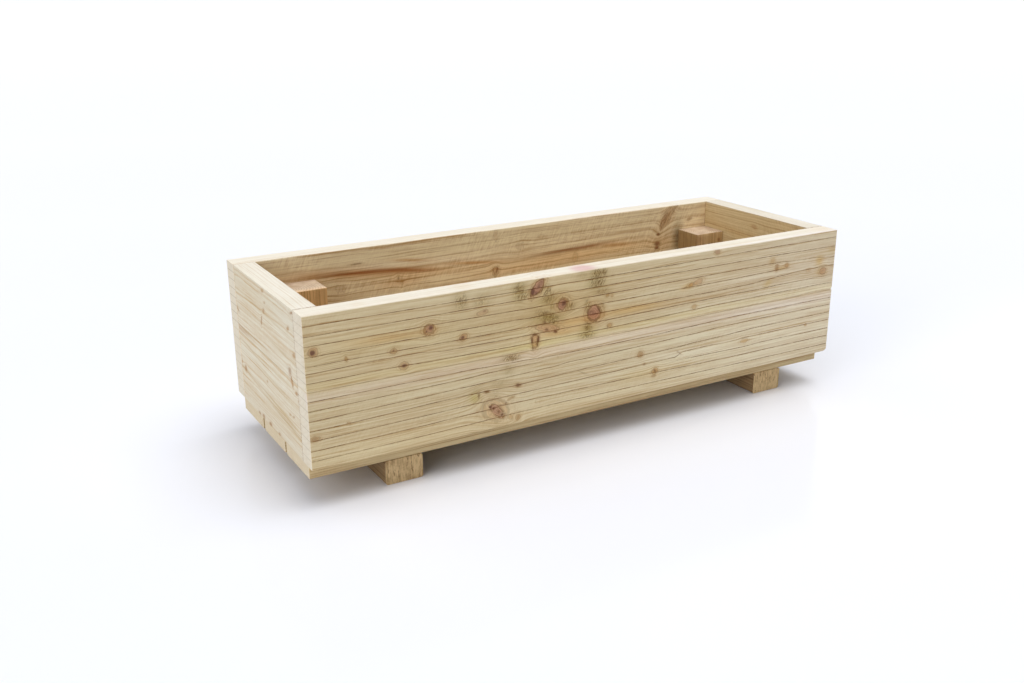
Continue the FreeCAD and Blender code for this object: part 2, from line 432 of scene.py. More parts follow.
FRONT_KNOTS = [
    (409, 23, 1.5, 7, -20, 0.55), (413, 29, 1.4, 6, -25, 0.6), (418, 32, 1.4, 5, 25, 0.5),
    (468, 24, 1.4, 7, -15, 0.5), (474, 29, 1.3, 7, 15, 0.5), (480, 33, 1.2, 5, -20, 0.4),
    (590, 8, 1.3, 7, -30, 0.55), (597, 10, 1.3, 7, -30, 0.45), (582, 26, 1.3, 7, -35, 0.5),
    (588, 28, 1.3, 8, -35, 0.55), (594, 27, 1.3, 7, -30, 0.45), (476, 74, 1.2, 5, -40, 0.4),
    (468, 75, 1.2, 5, -35, 0.35), (15.5, 64, 9, 8, 0, 0, 0.45, 0.3),
    (14.5, 64.5, 5.5, 5, 0, 1, 0, 0.9), (227, 60, 11, 9.5, 10, 0, 0.6, 0.4),
    (228, 58.5, 7.5, 7, 20, 0, 0.7, 1), (230, 57.5, 5, 4.5, 20, 1, 0, 1),
    (221, 63, 2.5, 3, 0, 0.7, 0, 0.3), (72, 85, 2.5, 5, 10, 0.15, 0.5),
    (158, 87, 7, 5, 0, 0.1, 0.5, 0.1), (158, 86.5, 2.2, 2, 0, 0.8, 0, 0.8),
    (176, 117, 9, 7, 0, 0, 0.45, 0.3), (177, 117, 5, 3.6, 0, 0.85, 0, 1),
    (293, 86, 8, 6, 15, 0, 0.6, 0.3), (291, 86, 4.4, 3.6, 15, 0.9, 0, 0.8),
    (332, 46, 11, 5, 10, 0, 0.35, 0.8), (336, 44, 4, 2, 10, 0.5, 0, 0.8),
    (447, 17, 18, 8.5, 49, 0, 1, 0.85), (453, 10, 9, 5, 49, 0.35, 0, 1),
    (442, 27, 8, 4, -10, 0.5, 0, 1), (436, 24, 5, 8, -8, 0.95, 0, 1),
    (456, 23, 2, 7, -30, 0.8, 0, 0.3), (449, 16, 4, 3, 0, 0.55, 0, 0.8),
    (501, 57, 12.5, 12.5, 0, 0, 0.6, 0.3), (499.5, 58, 10.5, 10.5, 0, 0, 0.9, 1),
    (504, 56, 5.5, 6, 0, 0.95, 0, 0.9), (572, 86, 15, 14.5, 0, 0, 0.95, 0.85),
    (563, 84, 8, 6, 0, 0.45, 0, 0.5), (582, 80, 2, 11, 32, 0.95, 0, 0.1),
    (573, 87, 12, 1.6, -5, 0.5, 0, 0.4), (466, 97, 27, 8, -13, 0, 0.5, 0.7),
    (466, 101, 5, 3, -20, 0.7, 0, 0.4), (486, 108, 4.5, 3, -30, 1, 0, 0.2),
    (462, 86, 5, 3, -50, 0.6, 0.3, 0.6), (441, 119, 7, 14, 0, 0.05, 0.6, 0.3),
    (434.5, 116, 2.8, 10, 6, 0.95, 0, 0.1), (448, 117, 2.8, 9, -6, 1, 0, 0.1),
    (446, 126, 2, 5, 20, 0.8, 0, 0.1), (436.5, 132, 1.8, 4.5, 8, 0.6, 0, 0.1),
    (441, 107, 7, 2.2, 0, 0.85, 0, 0.1), (608, 116, 5.5, 4, -20, 0.1, 0.5),
    (604, 118, 2, 3, 0, 0.4), (601, 56, 4, 3, 20, 0.1, 0.5), (613, 58, 3, 3, -30, 0.1, 0.4),
    (868, 5, 7, 5, 0, 0.2, 0.5, 0.6), (805, 64.5, 7, 4.5, 10, 0, 0.6),
    (822, 61, 12, 5.5, 14, 0, 0.5, 0.5), (790, 68, 6, 1.8, 15, 0.45),
    (815, 112, 6, 5, 0, 0.05, 0.4, 0.1), (1020, 43, 6, 4, 0, 0, 0.2, 0.2),
    (1032, 60, 4.5, 6.5, 0, 0.3, 0.5), (1060, 60, 5, 5, 0, 0.1, 0.5),
    (1168, 87, 9, 8, 0, 0, 0.6, 0.5), (1168, 86, 3, 3, 0, 0.25, 0, 0.5),
    (1125, 80, 7, 4, 0, 0, 0.3, 0.1), (8, 217, 9, 5, 0, 0.3, 0.4), (70, 201, 4, 2, -20, 0, 0.5),
    (339, 199, 5.5, 3, -12, 0.65, 0.4), (405, 199, 5.5, 3.6, -12, 0.75, 0.4, 0.2),
    (322, 203, 2.4, 7, -8, 0.55, 0.2), (358, 238, 27, 21, -32, 0, 0.34, 0.2),
    (360, 241, 20, 8, -46, 0.15, 0.9, 0.75), (346, 230, 3.6, 4, 0, 1, 0, 0.6),
    (352, 234, 4, 3, -45, 1, 0, 0.5), (363, 243, 3.4, 5, 20, 0.85, 0, 0.3),
    (370, 250, 4.5, 3.6, 0, 0.9, 0.3, 0.4), (368, 231, 9, 1.6, -8, 0.55),
    (378, 230, 1.8, 5, -25, 0.5), (388, 222, 9, 2.5, 20, 0.2, 0.3),
    (388, 259, 6, 4, -60, 0.05, 0.4), (404, 263, 5.5, 6, 0, 0.2, 0.4, 0.1),
    (548, 202, 15, 1.8, -26, 0.3), (684, 190, 7, 6, 0, 0.25, 0.5), (685, 191, 3, 2.4, 0, 0.5),
    (695, 212, 3, 2, 0, 0.5, 0.3), (722, 231, 7, 6, 30, 0, 0.6, 0.1),
    (722, 231, 3, 5, 30, 0.7, 0, 0.1), (720, 241, 5, 3, 0, 0.3, 0.4), (781, 203, 12, 1.8, -38, 0.5),
    (955, 209, 10, 5, 0, 0, 0.3), (1130, 203, 3, 3, 0, 0, 0.5),
]

# Torn grain: the same places and sizes, and how strong

FRONT_TORN = [
    (290, 18, 14, 15, 0, 0.65), (330, 24, 18, 12, 0, 0.5), (408, 18, 12, 15, 0, 0.9),
    (418, 30, 12, 5, 30, 0.9), (466, 26, 9, 9, 0, 1.1), (470, 42, 14, 9, 0, 0.8),
    (477, 58, 5, 8, 0, 0.7), (518, 64, 9, 8, 0, 0.8), (470, 77, 25, 9, -25, 1),
    (484, 88, 8, 6, -30, 0.9), (455, 74, 30, 4, 0, 0.6), (545, 8, 14, 8, 0, 0.35),
    (578, 8, 14, 10, 0, 0.9), (576, 25, 15, 12, 0, 1.05), (592, 8, 7, 8, 0, 0.8),
    (590, 45, 16, 8, 0, 0.55), (556, 68, 6, 12, 0, 0.8), (558, 112, 9, 10, 0, 0.9),
    (556, 127, 17, 7, 0, 0.9), (590, 78, 6, 12, 0, 0.5), (455, 88, 14, 4, 0, 0.5),
    (391, 143, 18, 6, 0, 1), (384, 165, 14, 16, 0, 0.35), (365, 188, 22, 12, 0, 0.3),
    (355, 206, 14, 8, 0, 0.3), (320, 190, 16, 6, 0, 0.3), (600, 57, 14, 5, 0, 0.3),
]

# Stains: the same places and sizes, and a colour to multiply by

FRONT_STAINS = [
    (572, 87, 13, 12, 0, (0.84, 0.76, 0.8)), (498, 60, 9, 9, 0, (0.86, 0.8, 0.84)),
    (110, 124, 220, 12, 0, (0.95, 0.93, 0.9)), (442, 22, 12, 10, 40, (0.84, 0.78, 0.84)),
    (796, 67, 18, 6, 8, (0.9, 0.78, 0.56)), (1046, 64, 22, 4, 2, (0.85, 0.7, 0.48)),
    (1160, 88, 16, 8, 0, (0.93, 0.86, 0.72)), (470, 45, 34, 16, 0, (0.92, 0.9, 0.78)),
    (577, 20, 26, 24, 0, (0.86, 0.85, 0.76)), (410, 22, 17, 17, 0, (0.9, 0.89, 0.78)),
    (470, 79, 30, 8, 0, (0.84, 0.83, 0.64)), (556, 116, 16, 15, 0, (0.9, 0.88, 0.7)),
    (430, 128, 60, 6, 0, (0.94, 0.93, 0.8)), (600, 60, 1400, 62, 0, (0.985, 0.965, 0.94)),
    (500, 66, 150, 70, 0, (0.965, 0.94, 0.9)), (560, 215, 330, 60, 0, (1.03, 1.04, 1.07)),
    (1180, 200, 300, 90, 0, (1.08, 1.09, 1.06)), (150, 260, 260, 26, 0, (1.04, 1.03, 1)),
    (500, 262, 300, 20, 0, (1.03, 1.02, 1)), (660, 92, 80, 8, 0, (1, 0.87, 0.64)),
    (530, 96, 50, 9, 0, (1.04, 0.9, 0.7)), (500, 112, 60, 6, 0, (1.04, 0.93, 0.76)),
    (600, 144, 1400, 13, 0, (1.07, 1.07, 1.2)), (520, 144, 220, 12, 0, (1.06, 1.06, 1.08)),
    (150, 62, 80, 8, -2, (0.95, 0.83, 0.68)), (500, 60, 110, 55, 0, (0.97, 0.93, 0.84)),
    (560, 126, 900, 8, 0, (1.05, 1.06, 0.95)), (313, 206, 12, 10, 0, (0.84, 0.82, 0.56)),
    (1155, 62, 12, 12, 0, (0.92, 0.79, 0.52)), (1018, 45, 9, 9, 0, (0.93, 0.84, 0.7)),
    (1010, 92, 13, 7, 30, (0.94, 0.86, 0.66)), (1190, 42, 16, 9, 0, (0.88, 0.8, 0.66)),
    (740, 203, 45, 6, 0, (1.05, 1.07, 1.13)), (830, 211, 45, 5, 0, (1.05, 1.07, 1.13)),
    (960, 75, 110, 6, 0, (1.06, 1.08, 1.14)), (1140, 64, 70, 8, 0, (1.06, 1.08, 1.14)),
    (690, 232, 60, 12, 0, (0.97, 0.93, 0.82)), (1200, 140, 330, 300, 0, (1.05, 1.08, 1.24)),
    (1000, 210, 330, 120, 0, (1.04, 1.06, 1.12)), (100, 240, 300, 40, 0, (1.02, 1.02, 1.02)),
    (170, 68, 210, 28, 0, (0.955, 0.94, 0.87)), (840, 232, 200, 60, 0, (1.06, 1.085, 1.105)),
    (430, 96, 60, 22, 0, (1.05, 1.07, 1.07)),
]

INNER_BACK_KNOTS = [
    (1040, 18, 2, 18, -48, 0.5), (1052, 30, 1.6, 12, -20, 0.4), (1030, 34, 1.8, 18, -40, 0.5),
    (1060, 16, 1.8, 12, -40, 0.45), (1024, 44, 1.6, 14, -22, 0.5), (1046, 34, 1.6, 12, -26, 0.4),
    (250, 33, 12, 2, 0, 0.5, 0.2, 0.3), (345, 80, 4, 9, 15, 0.35, 0.5, 0.4),
    (573, 95, 8, 11, 0, 0, 0.4, 0.4), (569, 95, 1.6, 10, 14, 0.5, 0, 0.2),
    (577, 92, 2, 9, -12, 0.8, 0, 0.2), (575, 14, 6, 13, 0, 0, 0.2, 0.2),
    (1044, 26, 11, 30, -34, 0, 0.25, 0.3), (1064, 8, 2.2, 13, -52, 0.35, 0.2, 0.4),
    (1054, 13, 2, 15, -44, 0.4, 0.2, 0.4), (1047, 22, 2, 17, -36, 0.4, 0.2, 0.3),
    (1040, 24, 1.8, 15, -30, 0.45, 0.2, 0.3), (1036, 38, 2.2, 15, -32, 0.5, 0.3, 0.3),
    (1028, 48, 2, 12, -24, 0.4, 0.2, 0.3), (1050, 6, 1.8, 9, -66, 0.4, 0.2, 0.4),
    (1038, 12, 1.6, 10, -58, 0.35, 0.2, 0.3), (1018, 65, 5, 3, 0, 0.9, 0.4, 0.2),
    (1016, 88, 8, 5, 0, 0.7, 0.5, 0.3), (1015, 98, 6, 4, 0, 0.9, 0.4, 0.3),
    (1110, 38, 8, 4, 20, 0.3, 0.3, 0.3), (782, 90, 8, 14, 0, 0, 0.2, 0.3),
    (690, 30, 8, 6, 0, 0, 0.2, 0.2),
]

# Stains on the inner back, and one painted shadow: the first, dark one lies beside the back right
# post
INNER_BACK_STAINS_AND_SHADE = [
    (1077, 82, 15, 42, 0, (0.4, 0.37, 0.32)), (1040, 88, 40, 22, 0, (0.84, 0.76, 0.68)),
    (1040, 26, 14, 40, -38, (0.92, 0.84, 0.76)), (330, 64, 200, 12, -5, (0.95, 0.84, 0.72)),
    (780, 78, 200, 14, 0, (0.98, 0.9, 0.8)), (500, 22, 700, 16, 0, (0.98, 0.99, 0.97)),
    (300, 56, 125, 6, -5, (0.64, 0.42, 0.28)), (235, 53, 60, 4, -3, (0.76, 0.56, 0.4)),
    (365, 62, 60, 4, -8, (0.66, 0.44, 0.28)), (370, 41, 42, 3, -8, (0.76, 0.56, 0.38)),
    (300, 44, 110, 5, -3, (1.05, 1.08, 1.16)), (470, 54, 120, 8, -4, (1.06, 1.08, 1.14)),
    (520, 67, 70, 3.5, -6, (0.8, 0.58, 0.38)), (745, 70, 84, 3.2, 2, (0.44, 0.27, 0.18)),
    (820, 69, 60, 3, 2, (0.56, 0.36, 0.24)), (900, 75, 50, 5, -4, (0.86, 0.7, 0.56)),
    (345, 86, 60, 12, 0, (0.9, 0.78, 0.68)), (160, 45, 70, 12, 0, (0.87, 0.79, 0.72)),
    (860, 88, 220, 12, 0, (0.94, 0.86, 0.76)), (650, 96, 160, 10, 0, (0.94, 0.84, 0.74)),
]

LEFT_KNOTS = [
    (50, 86, 10, 3, -20, 0.3, 0.4), (221, 45, 5, 3.5, 20, 0.35, 0.4, 0.1),
    (203, 68, 3, 9, -20, 0.45, 0.4, 0.1), (376, 83, 6, 4, 15, 0.35, 0.4, 0.1),
    (354, 41, 6, 3, 25, 0.3, 0.4), (380, 7, 9, 2, 15, 0.6, 0.3), (222, 8, 6, 3, 15, 0.2, 0.3),
    (230, 28, 5, 2, 10, 0.2, 0.3), (355, 136, 4, 9, 20, 0.3, 0.6, 0.1),
    (348, 120, 5, 8, -30, 0.3, 0.3, 0.6), (375, 152, 6, 3, 10, 0.35, 0.4),
    (388, 162, 6, 3, 25, 0.3, 0.4), (45, 193, 6, 4, -60, 0.4, 0.4), (70, 203, 5, 6, -40, 0.3, 0.5),
    (208, 185, 4, 2.5, 20, 0.2, 0.3), (350, 204, 6, 2, 15, 0.3, 0.3),
    (330, 207, 5, 2, 10, 0.2, 0.3), (140, 272, 6, 3, 0, 0.4, 0.4), (165, 270, 7, 4, 10, 0.45, 0.4),
    (206, 272, 7, 4, 15, 0.45, 0.5, 0.2), (258, 272, 6, 3, 15, 0.3, 0.4),
]

LEFT_STAINS = [
    (200, 22, 400, 40, 0, (0.965, 0.96, 0.95)), (60, 205, 60, 1.6, -3, (0.8, 0.7, 0.55)),
    (330, 232, 110, 2.2, -4, (0.78, 0.68, 0.52)), (250, 215, 130, 1.8, -4, (0.82, 0.74, 0.6)),
    (110, 150, 80, 2, -6, (0.84, 0.76, 0.62)), (330, 98, 90, 1.8, -3, (0.85, 0.78, 0.66)),
    (150, 75, 120, 2, 2, (0.87, 0.8, 0.7)), (80, 120, 60, 2.2, -4, (0.72, 0.6, 0.48)),
    (55, 125, 45, 4, -2, (0.8, 0.68, 0.6)), (345, 118, 14, 4, -12, (0.84, 0.82, 0.8)),
    (290, 217, 70, 6, -3, (0.9, 0.82, 0.68)), (120, 212, 90, 2.4, -5, (0.88, 0.78, 0.64)),
    (300, 226, 110, 2, -3, (0.84, 0.74, 0.6)), (230, 171, 150, 2, -3, (0.88, 0.82, 0.7)),
    (230, 177, 150, 1.6, -3, (0.88, 0.82, 0.7)), (160, 119, 60, 1.6, 0, (0.78, 0.7, 0.58)),
    (215, 50, 230, 2, -2, (0.88, 0.82, 0.72)), (150, 30, 160, 30, 0, (0.985, 0.97, 0.93)),
    (215, 92, 200, 2, -1, (0.9, 0.84, 0.74)), (260, 150, 160, 1.8, 1, (0.9, 0.83, 0.7)),
    (200, 240, 200, 2, -1, (0.92, 0.85, 0.72)),
]

RIM_STAINS = [
    (556, 18, 26, 22, 0, (0.86, 0.66, 0.73)), (105, 20, 14, 12, 0, (0.97, 0.94, 0.9)),
    (305, 24, 22, 14, 0, (0.97, 0.93, 0.88)), (780, 30, 60, 8, 0, (0.98, 0.96, 0.92)),
    (1175, 24, 26, 26, 0, (0.99, 0.955, 0.93)), (640, 30, 90, 10, 0, (0.985, 0.96, 0.93)),
    (430, 12, 60, 5, 0, (0.98, 0.95, 0.9)), (930, 14, 90, 5, 0, (0.98, 0.95, 0.9)),
]

NONE = {"knots": [], "torn": [], "stains": []}
FRONT_MARKS = {"knots": FRONT_KNOTS, "torn": FRONT_TORN, "stains": FRONT_STAINS}
INNER_BACK_MARKS = NONE | {"knots": INNER_BACK_KNOTS, "stains": INNER_BACK_STAINS_AND_SHADE}
LEFT_MARKS = NONE | {"knots": LEFT_KNOTS, "stains": LEFT_STAINS}
RIGHT_INNER_MARKS = NONE | {
    "knots": [(210, 30, 8, 4, 10, 0.2, 0.3, 0.2)],
    "stains": [(200, 60, 160, 10, 4, (0.92, 0.84, 0.74)), (120, 84, 160, 6, 3, (0.9, 0.8, 0.7))],
}
# Knots on the back left post, and painted light: the large stain lightens the face toward the
# inside
POST_KNOTS_AND_PAINTED_LIGHT = NONE | {
    "knots": [(205, 102, 34, 1.3, 0, 0.8, 0, 0.3), (200, 77, 30, 0.9, 1, 0.3)],
    "stains": [(110, 59, 400, 200, 0, (1.45, 1.35, 1.2))],
}
# Painted shade that darkens the left side of the back right post
SHADED_SIDE = (0.5, 0.45, 0.36)
# Painted shade that darkens the right end boards a little, inside and out
RIGHT_END_PAINTED_SHADE = (0.95, 0.94, 0.93)

# Broken lower right corners: from and to which height down from the rim, and how much is lost
CORNER_REACH = 14
BROKEN_CORNERS = {"upper": (126.5, 133.4, 0.5), "lower": (RIM_HEIGHT - 6, RIM_HEIGHT, 0.75)}


# Groove lines of the front wall, in millimetres from the left end and down from the rim. A third
# value is how deep the groove is cut there, as a share

UPPER_GROOVES = [
    [(0, 17.5), (560, 17.8), (680, 17.2), (860, 15.8), (1000, 15), (1200, 15)],
    [(0, 35.3), (560, 35), (680, 34.5), (800, 33.8), (1000, 33.3), (1200, 34.5)],
    [(0, 52.3), (240, 52.5, 0.9), (480, 53.5), (560, 52), (800, 51), (980, 50), (1050, 50, 0.8),
     (1070, 52, 0.5), (1130, 53, 0.8), (1200, 58)],
    [(0, 70.8), (380, 71), (440, 72), (540, 70.5), (620, 69), (800, 69), (900, 68), (1000, 66.5),
     (1060, 65.5, 0.8), (1085, 65, 0), (1200, 66.5, 0)],
    [(0, 87.8, 0.9), (70, 87, 0.9), (240, 88), (300, 89), (440, 88.5), (600, 87.5), (700, 86.8),
     (860, 87), (950, 86), (1000, 83), (1050, 80, 0.9), (1100, 77, 0.9), (1200, 76)],
    [(0, 100), (130, 98, 0.9), (200, 98.5, 0.8), (235, 101, 0.5), (250, 104, 0.8), (400, 104.8),
     (600, 104.2), (700, 103), (800, 101.5), (960, 100.5), (1050, 99, 0.8), (1200, 98, 0.8)],
    [(0, 117), (150, 116.5), (240, 118.5), (400, 120.5), (600, 121), (700, 119.5), (800, 117.8),
     (860, 116.5), (1000, 116), (1200, 115.5)],
]

LOWER_GROOVES = [
    [(0, 149.5), (300, 149.5), (400, 152, 0.9), (500, 154.5), (620, 155), (700, 154.5),
     (800, 152.5), (850, 151.5), (900, 149.5), (1200, 150)],
    [(0, 166.5), (200, 165.3), (300, 164.5), (340, 162.5), (400, 161.5), (450, 162, 0.8),
     (480, 164, 0), (1200, 158.5, 0)],
    [(0, 184.5), (200, 182), (300, 180.5), (400, 178), (480, 176.5, 0.9), (520, 173.5, 0.9),
     (640, 172.5), (700, 171.5), (800, 169.5), (900, 166.5), (1000, 165.5), (1200, 166)],
    [(0, 202.5), (300, 197), (400, 198), (450, 197), (520, 195), (560, 194), (650, 193), (700, 192),
     (780, 190.5), (820, 188.5), (900, 187.5), (940, 185.5), (980, 184), (1200, 183.5)],
    [(0, 220.5), (200, 218.5), (300, 217), (400, 215.5), (500, 214.5), (600, 213.5), (700, 212),
     (770, 211.5, 0.9), (795, 203, 0.8), (850, 202, 0.9), (900, 203, 0.5), (1000, 201),
     (1200, 201)],
    [(0, 229, 0), (720, 222, 0), (790, 219, 0.5), (850, 220), (950, 221.5), (1010, 219.5),
     (1200, 220.5)],
    [(0, 239), (100, 238), (200, 237), (300, 235), (345, 234.5), (370, 232), (500, 233.5),
     (600, 234), (700, 234.5), (850, 237), (940, 238), (1200, 238)],
    [(0, 257.5), (200, 256.5), (300, 255), (400, 253), (500, 252.5), (600, 254), (700, 254.5),
     (800, 255.5), (1000, 256.5), (1200, 257.3)],
]

# The joint between the two boards, which sags a little in the middle
JOINT_LINE = [(0, 133.4), (240, 134), (300, 135), (400, 136), (700, 136.3), (760, 135.5),
              (820, 134.5), (900, 133.5), (1200, 133)]


def eased(share):
    return share * share * (3 - 2 * share)


def smooth_path(points, places):
    """Heights and depths of a line at the given places, eased between its points."""
    u, v, share = np.array([(*point, 1)[:3] for point in points], float).T
    step = np.clip(np.searchsorted(u, places, side="right") - 1, 0, len(u) - 2)
    t = eased(np.clip((places - u[step]) / (u[step + 1] - u[step]), 0, 1))
    return v[step] + (v[step + 1] - v[step]) * t, share[step] + (share[step + 1] - share[step]) * t


# Fields over a face

def mark_distance(u, v, mark):
    """How far a place is from a mark's middle, where 1 is the mark's edge."""
    along, down, half_length, half_height, slope = mark[:5]
    angle = math.radians(slope)
    du, dv = u - along, down - v
    turned_u = du * math.cos(angle) + dv * math.sin(angle)
    turned_v = dv * math.cos(angle) - du * math.sin(angle)
    return np.hypot(turned_u / half_length, turned_v / half_height)


def stain(fields, mark, share):
    fields["tint"] *= 1 + (np.array(mark[5]) - 1) * share[:, None]


def marked_fields(fields, u, v, depth, knots, torn, stains):
    """Adds the marks of one face to a piece's fields. They fade with the depth below the face."""
    depth = np.maximum(depth, 0)
    for mark in knots:
        dark, disc, pink = (*mark[5:], 0, 0)[:3]
        away = np.hypot(mark_distance(u, v, mark), depth / (1.6 * mark[2] + 8))
        for key, share in (("knot", disc), ("spot", dark)):
            if share > 0:
                nearer = (away < fields[key][:, 0]) | (away < 1.15)
                fields[key][nearer, 0] = away[nearer]
                fields[key][nearer, 1:] = share, pink
        if disc > 0.2:
            fields["push"] += (mark[1] - v) * 0.85 * np.exp(-(away / 1.7) ** 2)
    for mark in torn:
        away = np.hypot(mark_distance(u, v, mark) / 1.15, depth / 12)
        fields["patch"][:, 0] = np.maximum(fields["patch"][:, 0], mark[5] * np.exp(-away ** 2))
    for mark in stains:
        away = np.hypot(mark_distance(u, v, mark), depth / 10)
        stain(fields, mark, np.exp(-away ** 2))


def blank_fields(count):
    far = np.tile([9.0, 0.0, 0.0], (count, 1))
    return {"grain": np.zeros((count, 3)), "knot": far, "spot": far.copy(),
            "patch": np.zeros((count, 3)), "tint": np.ones((count, 3)), "push": np.zeros(count)}


def grain_field(fields, along, across, deep, pith):
    """Writes the place in the log: along it, and across it from the pith."""
    across = across + fields["push"] - pith[0]
    fields["grain"] = MM * np.stack([along, across, deep - pith[1]], 1)


def wave(random, places, length, size):
    """A smooth random curve with bumps of about the given length and size."""
    reach = places.max() - places.min()
    heights = random.uniform(-size, size, max(4, int(reach / length) + 3))
    at = (places - places.min()) / max(reach, 1e-9) * (len(heights) - 1)
    step = np.clip(at.astype(int), 0, len(heights) - 2)
    t = eased(at - step)
    return heights[step] * (1 - t) + heights[step + 1] * t


def random_marks(seed, length, top, bottom, knots=7, stains=5, torn=2):
    """Knots, stains and torn grain for a face that the photograph doesn't show."""
    random = np.random.default_rng(seed)
    draw = random.uniform
    made = {"knots": [], "torn": [], "stains": []}
    for _ in range(knots):
        size = random.choice([2.5, 3.5, 5, 7, 10], p=[0.25, 0.25, 0.2, 0.2, 0.1])
        made["knots"].append((
            draw(10, length - 10), draw(top + 6, bottom - 6), size * draw(1, 1.6), size,
            draw(-25, 25), draw(0.1, 0.9), draw(0.3, 0.7), draw(0, 0.8),
        ))
    for _ in range(stains):
        warm = draw(0.86, 1.04)
        made["stains"].append((
            draw(0, length), draw(top, bottom), draw(40, 160), draw(4, 14), draw(-3, 3),
            (warm, warm * draw(0.94, 1.0), warm * draw(0.84, 0.98)),
        ))
    for _ in range(torn):
        made["torn"].append((
            draw(20, length - 20), draw(top + 8, bottom - 8), draw(8, 18), draw(6, 14), 0,
            draw(0.4, 0.9),
        ))
    return made


# Meshes of timber

class Timber:
    """The faces of a box as a fine grid, which can be shaped, marked and turned into a piece."""

    def __init__(self, stations, rows, columns):
        shape = stations, rows, columns
        shell = np.ones(shape, bool)
        shell[1:-1, 1:-1, 1:-1] = False
        self.index = -np.ones(shape, int)
        self.index[shell] = np.arange(shell.sum())
        self.i, self.j, self.k = (axis[shell] for axis in np.indices(shape))
        self.at_end = (self.i == 0) | (self.i == stations - 1)

    def sides(self):
        """The six faces as grids of vertex numbers, seen from outside."""
        f = self.index
        return {
            "front": f[:, :, 0], "back": f[:, ::-1, -1],
            "under": f[:, 0, ::-1], "over": f[:, -1, :],
            "start": f[0, :, ::-1].T, "end": f[-1, :, :].T,
        }


def atlas(sides, points):
    """Places the six faces in one square, long faces as strips and the ends beside each other."""
    gap = 0.004
    end_height = 0.12
    places = {"start": (0.0, 0.0, 0.5, end_height), "end": (0.5, 0.0, 1.0, end_height)}
    heights = {}
    for name, grid in sides.items():
        if name not in places:
            edge = points[grid[0, 1:]] - points[grid[0, :-1]]
            heights[name] = np.linalg.norm(edge, axis=1).sum()
    top = 1.0
    for name, height in heights.items():
        share = (1 - end_height) * height / sum(heights.values())
        places[name] = (0.0, top - share, 1.0, top)
        top -= share
    return {name: (a + gap, b + gap, c - gap, d - gap) for name, (a, b, c, d) in places.items()}


def corners(grid):
    """The four corners of each field of a grid."""
    return np.stack([grid[:-1, :-1], grid[1:, :-1], grid[1:, 1:], grid[:-1, 1:]], 2)


def flat(values, kind=np.float32):
    return values.astype(kind).ravel()


def add_object(name, data):
    made = bpy.data.objects.new(name, data)
    bpy.context.scene.collection.objects.link(made)
    return made


def add_piece(name, mesh, crease, materials, node):
    """Makes the piece of a mesh, in place of a CAD node."""
    mesh.polygons.foreach_set("use_smooth", np.ones(len(mesh.polygons), bool))
    mesh.set_sharp_from_angle(angle=math.radians(crease))
    for material in materials:
        mesh.materials.append(material)
    piece = add_object(name, mesh)
    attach(piece, BODY)
    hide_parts(node)


def timber_piece(name, timber, points, fields, materials, node):
    """Makes the piece of a timber from its points and fields, in place of a CAD node."""
    sides = timber.sides()
    places = atlas(sides, points)
    faces, maps, slots = [], [], []
    for side, grid in sides.items():
        left, low, right, high = places[side]
        s, t = np.meshgrid(np.linspace(left, right, grid.shape[0]),
                           np.linspace(low, high, grid.shape[1]), indexing="ij")
        faces.append(corners(grid).reshape(-1, 4))
        maps.append(corners(np.stack([s, t], -1)).reshape(-1, 2))
        material = {"start": 1, "end": 1, "back": 2}.get(side, 0)
        slots.append(np.full(len(faces[-1]), min(material, len(materials) - 1)))
    faces, maps, slots = np.concatenate(faces), np.concatenate(maps), np.concatenate(slots)
    mesh = bpy.data.meshes.new(name)
    mesh.vertices.add(len(points))
    mesh.vertices.foreach_set("co", flat(points))
    mesh.loops.add(faces.size)
    mesh.loops.foreach_set("vertex_index", flat(faces, np.int32))
    mesh.polygons.add(len(faces))
    mesh.polygons.foreach_set("loop_start", np.arange(0, faces.size, 4, dtype=np.int32))
    mesh.polygons.foreach_set("material_index", flat(slots, np.int32))
    mesh.update(calc_edges=True)
    layer = mesh.uv_layers.new(name="OFBake")
    layer.uv.foreach_set("vector", flat(maps))
    for key in ("grain", "knot", "spot", "patch"):
        attribute = mesh.attributes.new(key, "FLOAT_VECTOR", "POINT")
        attribute.data.foreach_set("vector", flat(fields[key]))
    colour = mesh.attributes.new("tint", "FLOAT_COLOR", "POINT")
    tint = np.concatenate([fields["tint"], np.ones((len(points), 1))], 1)
    colour.data.foreach_set("color", flat(tint))
    add_piece(name, mesh, TIMBER_CREASE, materials, node)


def close_to(marks, length, base, fine):
    """Places along a timber: a base spacing, and a fine one where there are marks."""
    places = set(np.round(np.linspace(0, length, int(length / base) + 1), 2))
    for mark in marks:
        reach = 1.7 * max(mark[2], mark[3] * 0.7) + 2
        start, end = max(0.0, mark[0] - reach), min(length, mark[0] + reach)
        if end > start:
            places |= set(np.round(np.linspace(start, end, int((end - start) / fine) + 2), 2))
    kept = [0.0]
    for place in sorted(places):
        if place - kept[-1] > CLOSEST_SHARE * fine:
            kept.append(place)
    kept[-1] = length
    return np.array(kept)


def ends_added(places):
    """The places with one more close to each end, for a small bevel."""
    start, end = places[0], places[-1]
    inner = places[(places > start + 1.5 * BEVEL) & (places < end - 1.5 * BEVEL)]
    return np.concatenate([[start, start + BEVEL], inner, [end - BEVEL, end]])


def spread(length, base, radius, heads):
    """Places across a timber: close at its rounded edges and round the heads, wider between."""
    edge = radius * (1 - np.cos(EDGE_TURNS))
    inner = np.linspace(radius, length - radius, max(2, int((length - 2 * radius) / base) + 1))
    places = [*edge, *inner[1:-1], *(length - edge[::-1])]
    for head in heads:
        low, high = max(radius, head - SEAT_REACH), min(length - radius, head + SEAT_REACH)
        places = [place for place in places if place < low or place > high]
        places += list(np.linspace(low, high, int((high - low) / SEAT_STEP) + 2))
    places = np.array(sorted(places))
    return places[np.diff(places, prepend=-1) > LEAST_STEP]


